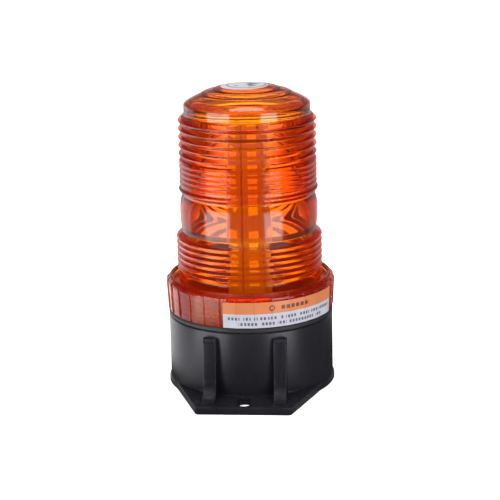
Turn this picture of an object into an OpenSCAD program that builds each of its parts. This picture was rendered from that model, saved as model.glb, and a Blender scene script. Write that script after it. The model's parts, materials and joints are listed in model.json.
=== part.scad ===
// LED warning beacon: black two-ear base, screw-on amber lens, six-sided LED mast.
// Millimetres, Z up. Origin: centre of the underside, on the lens axis. Ears along Y.

/* [Base housing] */
// Outer radius of the round housing
body_r = 45.4; // [45.0:0.1:45.8]
// Height of the shoulder the seal ring sits on
body_h = 39.5; // [38.5:0.5:42]
// Thickness of the mounting plate
plate_t = 4.0; // [3.5:0.5:5]
// Distance from the axis to the flat end of each ear
ear_reach = 62.7; // [62:0.1:66]
// Half the width of the flat end of each ear
ear_half = 25.2; // [24:0.2:27]
// Wall thickness of the housing
base_wall = 3.0; // [2.4:0.2:3.2]
// Radius of the threaded neck without its thread
neck_r = 39.6; // [39.4:0.1:39.8]
// Height of the threaded neck above the shoulder
neck_h = 13.6; // [13:0.2:14.2]

/* [Mounting slots and ribs] */
// Distance from the axis to the middle of each slot
slot_centre = 53.8; // [53.4:0.1:54.6]
// Width of each slot
slot_w = 7.0; // [5:0.5:8]
// Length of each slot along the ear
slot_len = 13.0; // [11:0.5:13.5]
// Distance between the two ribs on one ear
rib_gap = 37.7; // [34:0.1:40]
// Thickness of each rib
rib_w = 6.9; // [4:0.1:8]
// Height of the ribs above the underside
rib_h = 36.0; // [30:0.5:36.5]

/* [Screw lens] */
// Height of the lens from its lower lip to the top of the dome
lens_h = 123.7; // [122:0.1:128]
// Thickness of the lens wall
lens_wall = 2.3; // [2.0:0.1:2.6]
// Outer radius of the smooth upper cylinder
lens_r = 34.2; // [33.6:0.1:34.5]
// Depth of the five deep rings
ring_depth = 1.7; // [0.8:0.1:1.9]
// Depth of the five shallow rings
fine_depth = 0.45; // [0.2:0.05:0.6]
// Number of grip ribs round the collar
grip_count = 30; // [24:1:36]
// Turn of the grip ribs about the axis
grip_turn = 6.9; // [0:0.1:12]
// Lead of the screw thread per turn
thread_lead = 2.5; // [2.4:0.1:2.8]
// Radius of the label on top of the dome
top_label_r = 12.8; // [10:0.1:14]

/* [LED mast] */
// LEDs on each board
led_rows = 7; // [3:1:8]
// Width of one LED board
board_w = 11.2; // [10:0.1:11.3]
// Distance from the axis to the face of an LED board
board_face = 10.9; // [10.8:0.1:12]
// Height of the top of the LED boards
mast_top = 141.5; // [139:0.5:146]
// Turn of the mast about the axis
mast_turn = 16; // [0:1:59]

/* [Driver and wiring] */
// Radius of the round driver board
driver_r = 33.0; // [31:0.5:34]
// Outer diameter of the lead insulation
lead_d = 2.4; // [1.8:0.1:2.8]

/* [Hidden] */
$fn = 96;

// Colours shared by several pieces
black = [0.07, 0.07, 0.08];
chip_black = [0.08, 0.08, 0.09];
board_white = [0.92, 0.93, 0.90];
steel = [0.75, 0.76, 0.78];
winding = [0.72, 0.36, 0.14];
copper = [0.8, 0.45, 0.2];

// Levels, from the housing floor up
floor_bot = 23.5;
floor_t = 3.0;
floor_top = floor_bot + floor_t;
driver_z = floor_top + 4.0;
driver_t = 1.6;
driver_top = driver_z + driver_t;
foot_z = driver_top + 7.0;
foot_t = 1.6;
foot_top = foot_z + foot_t;
gasket_t = 2.4;
lens_z = body_h + gasket_t;
lens_top = lens_z + lens_h;

// Placing shared by the housing and the electronics
post_r = 27.5;       // radius of the circle of driver board posts
tap_r = 1.25;        // screw hole in a post or in the mast core
screw_r = 1.22;      // screw shank
screw_hole_r = 1.7;  // clearance hole in a board
lead_turn = 145;     // direction of the pair of leads about the axis
lead_x = 15.8;       // distance from the axis to the middle of the pair
lead_gap = 1.6;      // from the middle of the pair to either lead

module at_posts() {
  for (k = [0:2]) rotate([0, 0, 30 + 120 * k]) translate([post_r, 0, 0]) children();
}

// side: -1 or 1 for one of the two leads, 0 for the middle of the pair
module at_lead(side) {
  rotate([0, 0, lead_turn]) translate([lead_x + side * lead_gap, 0, 0]) children();
}

// Box centred on x and y, its underside at z
module block(size, z) {
  translate([-size.x / 2, -size.y / 2, z]) cube(size);
}

function arc(x, y, r, from, to, steps) =
  [for (i = [0:steps]) let (a = from + (to - from) * i / steps) [x + r * cos(a), y + r * sin(a)]];
function reversed(list) = [for (i = [len(list) - 1:-1:0]) list[i]];

// ---------- screw thread ----------
thread_h = 1.7;
thread_wall_w = 1.3;   // ridge width where it leaves the wall
thread_crest_w = 0.5;
thread_steps = 36;     // steps per turn

// Helical ridge from a root buried in the wall to its crest, sinking into the wall at both ends.
// It is an internal thread when the crest radius is less than the wall radius.
module thread(root_r, wall_r, crest_r, start_z, turns) {
  n = ceil(turns * thread_steps);
  slope = (thread_crest_w - thread_wall_w) / 2 / (crest_r - wall_r);
  function half_w(r) = thread_wall_w / 2 + slope * (r - wall_r);
  function rise(i) = min(1, 1.25 * min(i, n - i) / (thread_steps / 6) - 0.25);
  function section(i) =
    let (a = 360 * turns * i / n, z = start_z + thread_lead * turns * i / n,
      tip_r = wall_r + (crest_r - wall_r) * rise(i),
      root_w = half_w(root_r), tip_w = half_w(tip_r))
    [[root_r * cos(a), root_r * sin(a), z - root_w], [tip_r * cos(a), tip_r * sin(a), z - tip_w],
     [tip_r * cos(a), tip_r * sin(a), z + tip_w], [root_r * cos(a), root_r * sin(a), z + root_w]];
  inward = crest_r < wall_r;
  sides = [for (i = [0:n - 1], j = [0:3])
    let (k = (j + 1) % 4, a = i * 4 + j, b = i * 4 + k, c = b + 4, d = a + 4)
      each (inward ? [[a, c, b], [a, d, c]] : [[a, b, c], [a, c, d]])];
  last = n * 4;
  start_cap = inward ? [0, 1, 2, 3] : [3, 2, 1, 0];
  end_cap = inward ? [last + 3, last + 2, last + 1, last] : [last, last + 1, last + 2, last + 3];
  polyhedron(points = [for (i = [0:n]) each section(i)],
    faces = concat([start_cap], sides, [end_cap]), convexity = 8);
}

// ---------- base ----------
lip_r = body_r + 0.9;      // low lip round the foot of the housing
lip_h = 1.9;
lip_bevel = 0.2;
root_z = plate_t + 0.6;    // level where the round wall leaves the plate
shoulder_round = 1.2;
cup_r = neck_r - 2.8;      // bore above the floor
cavity_r = body_r - base_wall;
post_outer_r = 3.4;
grommet_hole_r = 4.0;

// Round side port with a flared mouth, close to +X
port_turn = -6.6;
port_z = 17.6;
port_r = 3.0;
port_flare = 3.2;

// Each slanted ear edge runs from its meeting point on the lip to the rounded corner
meet_x = 39.8;
meet_y = sqrt(lip_r * lip_r - meet_x * meet_x);
edge_len = sqrt(pow(meet_x - ear_half, 2) + pow(ear_reach - meet_y, 2));
normal_x = (ear_reach - meet_y) / edge_len;
normal_y = (meet_x - ear_half) / edge_len;
corner_r = 2.0;
corner_x = ear_half - (corner_r - normal_y * corner_r) / normal_x;

module ear_plate() {
  cylinder(r = body_r, h = plate_t);
  linear_extrude(plate_t) polygon([
    for (s = [[1, -1], [1, 1], [-1, 1], [-1, -1]])
      let (end = [s.x * corner_x, s.y * ear_reach],
           tangent = [s.x * (corner_x + corner_r * normal_x),
                      s.y * (ear_reach - corner_r + corner_r * normal_y)],
           meet = [s.x * meet_x, s.y * meet_y])
        each ((s.x * s.y < 0) ? [end, tangent, meet] : [meet, tangent, end])]);
  for (sx = [-1, 1], sy = [-1, 1])
    translate([sx * corner_x, sy * (ear_reach - corner_r), 0]) cylinder(r = corner_r, h = plate_t);
}

// Upright rib on the +Y ear, with a hollow curve from its toe up to the housing
rib_curve_r = 10.4;
rib_curve_start = ear_reach - 14.8;
rib_end = ear_reach - 3.9;
rib_toe_z = plate_t + 0.9;
rib_root = body_r - 6;     // buried in the housing wall
rib_top_round = 2.6;

module ear_rib() {
  profile = concat(
    [[rib_root, plate_t - 1], [rib_end, plate_t - 1], [rib_end, rib_toe_z]],
    reversed(arc(rib_curve_start + rib_curve_r, rib_toe_z + rib_curve_r, rib_curve_r, 180, 270, 12)),
    arc(body_r - 1.8, rib_h - rib_top_round, rib_top_round, 0, 90, 6),
    [[rib_root, rib_h]]);
  translate([-rib_w / 2, 0, 0]) rotate([90, 0, 90]) linear_extrude(rib_w) polygon(profile);
}

// Solid of the housing and neck
module body_blank() {
  neck_top = body_h + neck_h;
  rotate_extrude() polygon(concat(
    [[0, 0.5], [body_r, 0.5], [body_r, root_z]],
    arc(body_r - shoulder_round, body_h - shoulder_round, shoulder_round, 0, 90, 6),
    [[neck_r + 0.3, body_h], [neck_r, body_h + 0.3],
     [neck_r, neck_top - 0.5], [neck_r - 0.5, neck_top], [0, neck_top]]));
}

module foot_lip() {
  rotate_extrude() polygon([[body_r - 2, 0], [lip_r - lip_bevel, 0], [lip_r, lip_bevel],
    [lip_r, lip_h - lip_bevel], [lip_r - lip_bevel, lip_h], [body_r + 0.1, lip_h + 0.7],
    [body_r - 0.2, root_z], [body_r - 2, root_z]]);
}

module mounting_slots() {
  straight = slot_len - slot_w;
  for (s = [-1, 1]) {
    for (t = [-1, 1])
      translate([0, s * slot_centre + t * straight / 2, -1]) cylinder(d = slot_w, h = 20);
    translate([-slot_w / 2, s * slot_centre - straight / 2, -1]) cube([slot_w, straight, 20]);
  }
}

module side_port() {
  rotate([0, 0, port_turn]) translate([cavity_r - 3, 0, port_z]) rotate([0, 90, 0])
    cylinder(r = port_r, h = 12);
  rotate([0, 0, port_turn]) translate([body_r - 1.2, 0, port_z]) rotate([0, 90, 0])
    cylinder(r1 = port_r, r2 = port_r + port_flare, h = port_flare);
}

module base_housing() {
  color(black) difference() {
    union() {
      ear_plate();
      body_blank();
      foot_lip();
      for (turn = [0, 180], side = [-1, 1])
        rotate([0, 0, turn]) translate([side * rib_gap / 2, 0, 0]) ear_rib();
      thread(neck_r - 0.6, neck_r, neck_r + thread_h, lens_z + 2.55, 2.4);
    }
    translate([0, 0, floor_top]) cylinder(r = cup_r, h = 60);
    translate([0, 0, -1]) cylinder(r = cavity_r, h = floor_bot + 1);
    mounting_slots();
    side_port();
    at_lead(0) translate([0, 0, floor_bot - 1]) cylinder(r = grommet_hole_r, h = 6);
  }
  // posts under the driver board, sunk into the floor
  color(black) at_posts() translate([0, 0, floor_top - 0.5]) difference() {
    cylinder(r = post_outer_r, h = driver_z - floor_top + 0.5);
    translate([0, 0, 0.5]) cylinder(r = tap_r, h = 8);
  }
}

gasket_r = body_r + 0.1;
gasket_bore_r = neck_r + 2.1;
gasket_round = 0.7;

module lens_gasket() {
  color([0.05, 0.05, 0.055]) rotate_extrude() polygon(concat(
    [[gasket_bore_r, body_h], [gasket_r - 0.2, body_h], [gasket_r, body_h + 0.25],
     [gasket_r, lens_z - 0.9]],
    arc(gasket_r - gasket_round, lens_z - gasket_round, gasket_round, 0, 90, 5),
    [[gasket_bore_r, lens_z]]));
}

// ---------- lens ----------
bore_r = neck_r + 2.4;
collar_top = lens_z + 19.2;
collar_foot_r = 45.1;
collar_rim_r = 45.9;
collar_wall_top = collar_top - 3.2;
collar_tilt = atan((collar_rim_r - collar_foot_r) / (collar_wall_top - lens_z));
// Rounded rim and the groove behind it: [radius from collar_rim_r, height from collar_top]
collar_rim = [[0, -3.2], [-0.3, -2.4], [-1.3, -0.8], [-1.7, -0.25],
  [-2.2, 0], [-2.7, -0.15], [-3.0, -0.6], [-3.3, -3.6]];

band_foot_r = 39.1;
band_groove_r = 39.25;
band_r = 40.0;
band_top_z = lens_z + 40.9;   // highest of the six band rings
band_step = 3.4;

barrel_r = 37.6;
barrel_mid_z = lens_z + 55.4;

ring_r = 37.55;
ring_top_z = lens_z + 104.9;  // highest deep ring
ring_step = 4.5;
ring_end_z = ring_top_z + ring_step / 2;
fine_top_z = ring_top_z - 4 * ring_step - 4.5;  // highest shallow ring
fine_step = 2.82;

dome_r = 64.6;
dome_z = lens_top - dome_r;   // centre of the dome sphere
shoulder_r = 1.8;             // rounding between cylinder and dome
shoulder_z = dome_z + sqrt(pow(dome_r - shoulder_r, 2) - pow(lens_r - shoulder_r, 2));
// Two raised rings on the dome: [radius, height above the sphere]
dome_rings = [[24.8, 0], [24.4, 0.3], [22.2, 0.3], [21.8, 0],
  [18.6, 0], [18.2, 0.3], [15.6, 0.3], [15.2, 0]];

// Outside of the lens as [radius, z], from the lower lip to the top of the dome
function collar_outline() = concat(
  [[bore_r + 0.5, lens_z], [collar_foot_r - 0.3, lens_z], [collar_foot_r, lens_z + 0.3]],
  [for (p = collar_rim) [collar_rim_r + p.x, collar_top + p.y]],
  [[band_foot_r, collar_top - 3.6]]);

function band_outline() = concat(
  [[band_foot_r, band_top_z - 5.5 * band_step - 0.4]],
  [for (i = [5:-1:0]) let (z = band_top_z - i * band_step) each concat(
    [[band_groove_r, z - band_step / 2 + 0.15],
     [band_r - 0.1, z - 0.35], [band_r, z], [band_r - 0.1, z + 0.35]],
    i > 0 ? [[band_groove_r, z + band_step / 2 - 0.15]] : [])],
  [[39.35, band_top_z + 0.95], [38.1, band_top_z + 2.1], [36.95, band_top_z + 3.1]]);

// Bulged plain zone; it falls away more steeply above its middle than below
function barrel_outline() = [for (i = [0:12])
  let (t = -1 + i / 6, fall = t > 0 ? 1.45 : 0.80, reach = t > 0 ? 8.9 : 11.3)
    [barrel_r - fall * pow(abs(t), 2.5), barrel_mid_z + t * reach]];

function bead_outline() = arc(36.8, ring_top_z - 37.6, 1.2, -75, 75, 6);

function fine_ring_outline() = concat(
  [for (i = [4:-1:0]) let (z = fine_top_z - i * fine_step, flank_r = ring_r - fine_depth * 0.4) each
    [[ring_r - fine_depth, z - fine_step / 2], [flank_r, z - 0.6], [ring_r, z], [flank_r, z + 0.6]]],
  [[ring_r - fine_depth, fine_top_z + fine_step / 2]]);

function deep_ring_outline() = concat(
  [for (i = [4:-1:0]) let (z = ring_top_z - i * ring_step) each
    [[ring_r - ring_depth, z - ring_step / 2 + 0.15],
     [ring_r - 0.2, z - 0.35], [ring_r, z], [ring_r - 0.2, z + 0.35]]],
  [[ring_r - ring_depth, ring_end_z - 0.2], [lens_r + 0.25, ring_end_z + 0.6],
   [lens_r, ring_end_z + 1.0]]);

function dome_outline() = concat(
  arc(lens_r - shoulder_r, shoulder_z, shoulder_r, 0, 57, 6),
  [for (p = dome_rings) [p.x, dome_z + sqrt(pow(dome_r + p.y, 2) - p.x * p.x)]],
  reversed(arc(0, dome_z, dome_r, 90, 76.6, 5)));

// Inside of the lens as [radius, z], from the top of the dome to the lower lip
inner_r = lens_r - lens_wall + 0.4;
inner_dome_r = dome_r - lens_wall;
inner_dome_z = dome_z - 0.2;
inner_band_r = 36.7;

function inner_outline() = concat(
  reversed(arc(0, inner_dome_z, inner_dome_r, 63, 90, 12)),
  [[inner_r, inner_dome_z + sqrt(pow(inner_dome_r, 2) - pow(inner_r, 2)) - 1.2],
   [inner_r, ring_top_z + 1], [inner_r + 0.9, ring_top_z - 1], [inner_r + 1.1, band_top_z + 6],
   [inner_band_r - 0.1, band_top_z + 0.4],
   [inner_band_r, lens_z + 15.2], [inner_band_r, lens_z + 14.2],
   [bore_r, lens_z + 13.6], [bore_r, lens_z + 0.5]]);

grip_w = 1.2;
grip_t = 1.7;
grip_step = 360 / grip_count;

module lens() {
  color([1.0, 0.42, 0.02, 0.75]) union() {
    rotate_extrude() polygon(concat(collar_outline(), band_outline(), barrel_outline(),
      bead_outline(), fine_ring_outline(), deep_ring_outline(), dome_outline(), inner_outline()));
    for (k = [0:grip_count - 1]) rotate([0, 0, -90 + grip_turn + 360 * k / grip_count])
      translate([collar_foot_r - 1.0, -grip_w / 2, lens_z + 0.25]) rotate([0, collar_tilt, 0])
        cube([grip_t, grip_w, collar_top - lens_z - 2.6]);
    thread(bore_r + 0.6, bore_r, bore_r - thread_h, lens_z + 1.3, 3.4);
  }
}

// Thin disc following the dome, slightly off its axis
module top_label() {
  edge = 90 - asin(top_label_r / dome_r);
  color([0.85, 0.86, 0.88])
    translate([0, 0, dome_z]) rotate([0, -0.9, 0]) translate([0, 0, -dome_z])
      rotate_extrude() polygon(concat([[0, lens_top + 0.02]],
        reversed(arc(0, dome_z, dome_r + 0.02, edge, 90, 6)),
        arc(0, dome_z, dome_r + 0.2, edge, 90, 6)));
}

// Label over the grip ribs: flat panels from rib to rib, cut off at both ends of the label.
// Its angles are measured from -Y.
side_label_from = -14.1;
side_label_to = 72.5;
side_label_t = 0.16;
side_label_h = 14.2;

module side_label() {
  dist = (collar_foot_r + 0.81) * cos(grip_step / 2);
  color([0.82, 0.83, 0.85]) for (k = [0:floor(90 / grip_step)])
    let (mid = grip_turn - 2 * grip_step + grip_step * (k + 0.5),
         from = max(mid - grip_step / 2, side_label_from),
         to = min(mid + grip_step / 2, side_label_to))
      if (to > from + 0.5) rotate([0, 0, mid - 90])
        translate([dist, dist * tan(from - mid) - 0.01, lens_z + 0.5]) rotate([0, collar_tilt, 0])
          cube([side_label_t, dist * (tan(to - mid) - tan(from - mid)) + 0.02, side_label_h]);
}

// ---------- boards and mast ----------
board_t = 1.0;                  // LED board
core_face = board_face - board_t;
top_board_z = mast_top - 2.0;
top_board_t = 1.6;
pin_side = 3;                   // board pins, either side of an LED board's middle
pin_hole_r = 0.45;
support_pin_x = 14.2;           // three stiff pins carrying the foot board
support_hole_r = 0.72;

// Face 1 looks along -Y, turned by mast_turn; the others follow anticlockwise from above
module on_face(k) {
  rotate([0, 0, mast_turn - 90 + 60 * (k - 1)]) translate([board_face, 0, 0]) children();
}

module at_board_pins() {
  for (k = [1:6]) on_face(k) for (s = [-1, 1]) translate([-board_t / 2, s * pin_side, 0]) children();
}

module at_support_pins() {
  for (k = [0:2]) rotate([0, 0, 90 + 120 * k]) translate([support_pin_x, 0, 0]) children();
}

// face: distance from the axis to each flat
module hexagon(face, height) {
  rotate([0, 0, mast_turn - 90 + 30]) cylinder(r = face / cos(30), h = height, $fn = 6);
}

module cross_slot(length, z, height) {
  for (turn = [0, 90]) rotate([0, 0, turn]) translate([-length / 2, -0.3, z])
    cube([length, 0.6, height]);
}

// Screw head standing on z = 0: a straight rim, then a bevel
module screw_head(r, top_r, rim_h, bevel_h, slot_l, slot_z) {
  difference() {
    union() {
      cylinder(r = r, h = rim_h);
      translate([0, 0, rim_h]) cylinder(r1 = r, r2 = top_r, h = bevel_h);
    }
    cross_slot(slot_l, slot_z, 2);
  }
}

module driver_board() {
  color([0.05, 0.30, 0.14]) difference() {
    translate([0, 0, driver_z]) cylinder(r = driver_r, h = driver_t);
    at_posts() translate([0, 0, driver_z - 1]) cylinder(r = screw_hole_r, h = 4);
    for (s = [-1, 1]) at_lead(s) translate([0, 0, driver_z - 1]) cylinder(r = 0.7, h = 4);
  }
}

module board_screws() {
  color(steel) at_posts() {
    translate([0, 0, driver_top])
      screw_head(r = 2.8, top_r = 1.9, rim_h = 1.0, bevel_h = 0.8, slot_l = 3, slot_z = 0.8);
    translate([0, 0, driver_z - 3.4]) cylinder(r = screw_r, h = driver_t + 3.6);
  }
}

module mast_foot_board() {
  color(board_white) difference() {
    translate([0, 0, foot_z]) cylinder(r = 16.5, h = foot_t);
    translate([0, 0, foot_z - 1]) cylinder(r = screw_hole_r, h = 4);
    at_board_pins() translate([0, 0, foot_z - 1]) cylinder(r = pin_hole_r, h = 4);
    at_support_pins() translate([0, 0, foot_z - 1]) cylinder(r = support_hole_r, h = 4);
  }
}

// Hollow hexagonal core with solid, tapped ends
module mast_core() {
  color([0.80, 0.81, 0.80]) difference() {
    translate([0, 0, foot_top]) hexagon(core_face, top_board_z - foot_top);
    translate([0, 0, foot_top + 6]) hexagon(core_face - 1.8, mast_top - 14 - foot_top);
    translate([0, 0, foot_top - 1]) cylinder(r = tap_r, h = 10);
    translate([0, 0, mast_top - 10]) cylinder(r = tap_r, h = 10);
  }
}

module mast_top_board() {
  color(board_white) difference() {
    translate([0, 0, top_board_z]) hexagon(core_face - 0.05, top_board_t);
    translate([0, 0, mast_top - 3]) cylinder(r = screw_hole_r, h = 4);
  }
}

// One screw down through the top board, one up through the foot board
module mast_screw() {
  head_r = 2.6;
  top_r = 1.8;
  rim_h = 0.9;
  bevel_h = 0.7;
  slot_l = 2.8;
  color(steel) {
    translate([0, 0, top_board_z + top_board_t])
      screw_head(head_r, top_r, rim_h, bevel_h, slot_l, slot_z = 0.7);
    translate([0, 0, mast_top - 7.5]) cylinder(r = screw_r, h = 7.3);
    translate([0, 0, foot_z - rim_h - bevel_h]) difference() {
      union() {
        translate([0, 0, bevel_h]) cylinder(r = head_r, h = rim_h);
        cylinder(r1 = top_r, r2 = head_r, h = bevel_h);
      }
      cross_slot(slot_l, -0.6, 1.4);
    }
    translate([0, 0, foot_z - 0.2]) cylinder(r = screw_r, h = 6.5);
  }
}

// LED board with a small hole near one edge at each end
module led_board(k) {
  color(board_white) on_face(k) difference() {
    translate([-board_t, -board_w / 2, foot_top]) cube([board_t, board_w, mast_top - foot_top]);
    for (z = [foot_top + 3.2, mast_top - 3.2])
      translate([-board_t - 1, board_w / 2 - 2.0, z]) rotate([0, 90, 0]) cylinder(r = 0.6, h = 4);
  }
}
module led_board_1() { led_board(1); }
module led_board_2() { led_board(2); }
module led_board_3() { led_board(3); }
module led_board_4() { led_board(4); }
module led_board_5() { led_board(5); }
module led_board_6() { led_board(6); }

led_size = 5;
led_t = 1.6;
led_low_z = 62.0;
led_high_z = mast_top - 9.9;

// Column of LEDs: white body with a dished opening, yellow disc inside
module leds(k) {
  pitch = (led_high_z - led_low_z) / (led_rows - 1);
  on_face(k) for (i = [0:led_rows - 1]) translate([0, 0, led_low_z + pitch * i]) {
    color([0.95, 0.95, 0.93]) difference() {
      translate([0, -led_size / 2, -led_size / 2]) cube([led_t, led_size, led_size]);
      translate([0.9, 0, 0]) rotate([0, 90, 0]) cylinder(r1 = 1.6, r2 = 2.1, h = 0.71);
    }
    color([1.0, 0.85, 0.2]) translate([0.5, 0, 0]) rotate([0, 90, 0]) cylinder(r = 1.9, h = 0.8);
  }
}
module leds_1() { leds(1); }
module leds_2() { leds(2); }
module leds_3() { leds(3); }
module leds_4() { leds(4); }
module leds_5() { leds(5); }
module leds_6() { leds(6); }

// Two pins under each LED board, three stiff pins carrying the foot board, all with solder cones
module board_pins() {
  foot_gap = foot_z - driver_top;
  color([0.85, 0.72, 0.35]) {
    at_board_pins() {
      translate([0, 0, foot_z - 0.9]) cylinder(r = 0.4, h = foot_t + 0.9);
      translate([0, 0, foot_z - 0.5]) cylinder(r1 = 0.4, r2 = 1.0, h = 0.5);
    }
    at_support_pins() translate([0, 0, driver_top]) {
      cylinder(r = 0.7, h = foot_top - driver_top + 0.8);
      cylinder(r = 1.5, h = foot_gap);
      translate([0, 0, foot_top - driver_top]) cylinder(r1 = 1.5, r2 = 0.7, h = 0.8);
    }
  }
}

// ---------- parts on the driver board ----------
capacitor_place = [21, -9, driver_top];
inductor_place = [-22.4, -2, driver_top];
chip_place = [-3, -19.5, driver_top];

// Stacked sections of the can: [z, lower radius, upper radius, height]
capacitor_can = [[0, 4.0, 4.0, 0.8], [0.8, 5.0, 5.0, 1.4], [2.2, 5.0, 4.7, 0.5],
  [2.7, 4.7, 5.0, 0.5], [3.2, 5.0, 5.0, 9.0], [12.2, 5.0, 4.4, 0.5]];

module capacitor() {
  translate(capacitor_place) color([0.10, 0.10, 0.14]) union() {
    for (s = capacitor_can) translate([0, 0, s[0]]) cylinder(r1 = s[1], r2 = s[2], h = s[3]);
  }
}

module inductor() {
  flange_r = 6.0;
  flange_t = 1.2;
  translate(inductor_place) {
    color([0.14, 0.14, 0.15]) {
      cylinder(r = flange_r, h = flange_t);
      cylinder(r = 3.0, h = 7.4);
      translate([0, 0, 6.2]) cylinder(r = flange_r, h = flange_t);
    }
    color(winding) for (i = [0:5])
      translate([0, 0, 1.65 + i * 0.82]) rotate_extrude() translate([4.6, 0]) circle(r = 0.46);
    color(winding) translate([0, 0, flange_t]) cylinder(r = 4.5, h = 5.0);
  }
}

module driver_chip() {
  body = [5.0, 3.9, 1.5];
  pitch = 1.27;
  leg = [0.4, 1.1, 0.2];
  riser = [0.4, 0.2, 0.9];
  translate(chip_place) {
    color(chip_black) block(body, 0.15);
    color(steel) for (i = [0:3], s = [-1, 1])
      translate([(i - 1.5) * pitch - leg.x / 2, s > 0 ? body.y / 2 : -body.y / 2 - leg.y, 0]) {
        cube(leg);
        translate([0, s > 0 ? 0 : leg.y - riser.y, 0]) cube(riser);
      }
  }
}

// Two flat packages, one on +Y and one turned from it towards +X
module power_transistors() {
  for (turn = [-28, 0]) rotate([0, 0, turn]) translate([0, 24, driver_top]) {
    color(chip_black) block([6.6, 6.0, 2.2], 0.2);
    // tab on the outer side
    color(steel) {
      translate([-2.6, 3.0, 0]) cube([5.2, 1.2, 0.6]);
      translate([-2.6, 2.0, 0]) cube([5.2, 1.1, 0.3]);
    }
    // two legs on the inner side
    color(steel) for (i = [-1, 1]) {
      translate([i * 2.28 - 0.35, -5.6, 0]) cube([0.7, 2.7, 0.45]);
      translate([i * 2.28 - 0.35, -3.2, 0]) cube([0.7, 0.3, 0.9]);
    }
  }
}

module diodes() {
  for (i = [0:3]) rotate([0, 0, 212 + 13 * i]) translate([27.5, 0, driver_top]) {
    color(chip_black) block([2.6, 4.4, 2.0], 0.1);
    color(steel) for (s = [-1, 1]) translate([-0.75, s > 0 ? 2.0 : -2.7, 0]) cube([1.5, 0.7, 1.1]);
  }
}

module resistors() {
  w = 1.24;
  body_len = 1.2;
  body_t = 0.45;
  for (i = [0:5]) rotate([0, 0, 300 + 8 * i]) translate([30.3, 0, driver_top]) {
    color([0.93, 0.93, 0.9]) block([w, body_len, body_t], 0);
    color([0.1, 0.1, 0.12]) block([w, body_len, 0.1], body_t);
    color(steel) for (s = [-1, 1]) translate([-w / 2, s > 0 ? 0.6 : -1.0, 0]) cube([w, 0.4, 0.55]);
  }
}

// ---------- wiring ----------
lead_r = lead_d / 2;
loop_r = 33;            // loose loop under the floor
bend_r = 4;
red_z = 13.4;           // level of each lead's loop
black_z = 16.2;
red_sweep = 235;        // angle each loop runs through
black_sweep = 212;
wire_r = 0.55;

module floor_grommet() {
  flange_r = 5.2;
  flange_t = 1.2;
  color([0.1, 0.1, 0.1]) at_lead(0) difference() {
    union() {
      translate([0, 0, floor_bot - flange_t]) cylinder(r = flange_r, h = flange_t);
      translate([0, 0, floor_bot]) cylinder(r = grommet_hole_r - 0.05, h = floor_t);
      translate([0, 0, floor_top]) cylinder(r = flange_r, h = flange_t);
    }
    for (s = [-1, 1])
      translate([s * lead_gap, 0, floor_bot - 3]) cylinder(r = lead_r + 0.08, h = 10);
  }
}

// Insulation: down through the grommet, a bend outward, a bend sideways, then the loop
module lead(side, z, sweep) {
  drop_x = lead_x + side * lead_gap;
  rotate([0, 0, lead_turn]) {
    translate([drop_x, 0, z + bend_r]) cylinder(r = lead_r, h = driver_z - 0.8 - z - bend_r);
    translate([drop_x + bend_r, 0, z + bend_r]) rotate([90, 0, 0])
      rotate_extrude(angle = 90) translate([-bend_r, 0]) circle(r = lead_r, $fn = 32);
    translate([drop_x + bend_r, 0, z]) rotate([0, 90, 0])
      cylinder(r = lead_r, h = loop_r - 2 * bend_r - drop_x);
    translate([loop_r - bend_r, bend_r, z]) rotate([0, 0, -90])
      rotate_extrude(angle = 90) translate([bend_r, 0]) circle(r = lead_r, $fn = 32);
    translate([0, bend_r, z])
      rotate_extrude(angle = sweep) translate([loop_r, 0]) circle(r = lead_r, $fn = 32);
  }
}

// Bare copper at both ends of a lead, and the solder joint on the driver board
module lead_copper(side, z, sweep) {
  at_lead(side) {
    translate([0, 0, driver_z - 1.6]) cylinder(r = wire_r, h = driver_t + 1.6 + 1.0);
    translate([0, 0, driver_top]) cylinder(r1 = 1.35, r2 = 0.6, h = 0.8);
  }
  rotate([0, 0, lead_turn]) translate([0, bend_r, z]) rotate([0, 0, sweep])
    translate([loop_r, -0.6, 0]) rotate([-90, 0, 0]) cylinder(r = wire_r, h = 7);
}

module lead_red() {
  color([0.75, 0.05, 0.04]) lead(-1, red_z, red_sweep);
  color(copper) lead_copper(-1, red_z, red_sweep);
}

module lead_black() {
  color([0.06, 0.06, 0.07]) lead(1, black_z, black_sweep);
  color(copper) lead_copper(1, black_z, black_sweep);
}

// Band round both leads, with its head and cut tail on the inner side
module cable_tie() {
  low = red_z - lead_r - 0.1;
  high = black_z + lead_r + 0.1;
  half = lead_r + 0.12;
  wall = 1.0;
  inner = loop_r - half;
  color([0.9, 0.9, 0.88])
    rotate([0, 0, lead_turn]) translate([0, bend_r, 0]) rotate([0, 0, 70]) union() {
      difference() {
        translate([inner - wall, -1.3, low - wall])
          cube([2 * half + 2 * wall, 2.6, high - low + 2 * wall]);
        translate([inner, -2, low]) cube([2 * half, 4, high - low]);
      }
      translate([inner - 3.2, -1.9, low + 0.6]) cube([2.3, 3.8, 3.4]);
      translate([inner - 6.5, -1.0, low + 1.9]) cube([3.4, 2.0, 1.0]);
    }
}

base_housing();
lens_gasket();
lens();
top_label();
side_label();
driver_board();
board_screws();
mast_foot_board();
mast_core();
mast_top_board();
mast_screw();
led_board_1();
led_board_2();
led_board_3();
led_board_4();
led_board_5();
led_board_6();
leds_1();
leds_2();
leds_3();
leds_4();
leds_5();
leds_6();
board_pins();
capacitor();
inductor();
driver_chip();
power_transistors();
diodes();
resistors();
floor_grommet();
lead_red();
lead_black();
cable_tie();
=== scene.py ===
"""A round warning beacon with a screw-on amber lens, on a pale floor.

It stands upright on z = 0 around the Z axis. The black housing has two ears, one toward +Y
and one toward -Y, and a round port facing +X. A flat seal ring lies between housing and lens.
The camera looks from -Y, so -Y is the front and -X is on its left.
Shape sizes are in millimetres and become metres when a mesh is made. Texture scales, shader
distances, lights and the floor are in metres.
"""
import bpy
import bmesh
import json
import math
import numpy as np
from mathutils import Matrix, Vector


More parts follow.
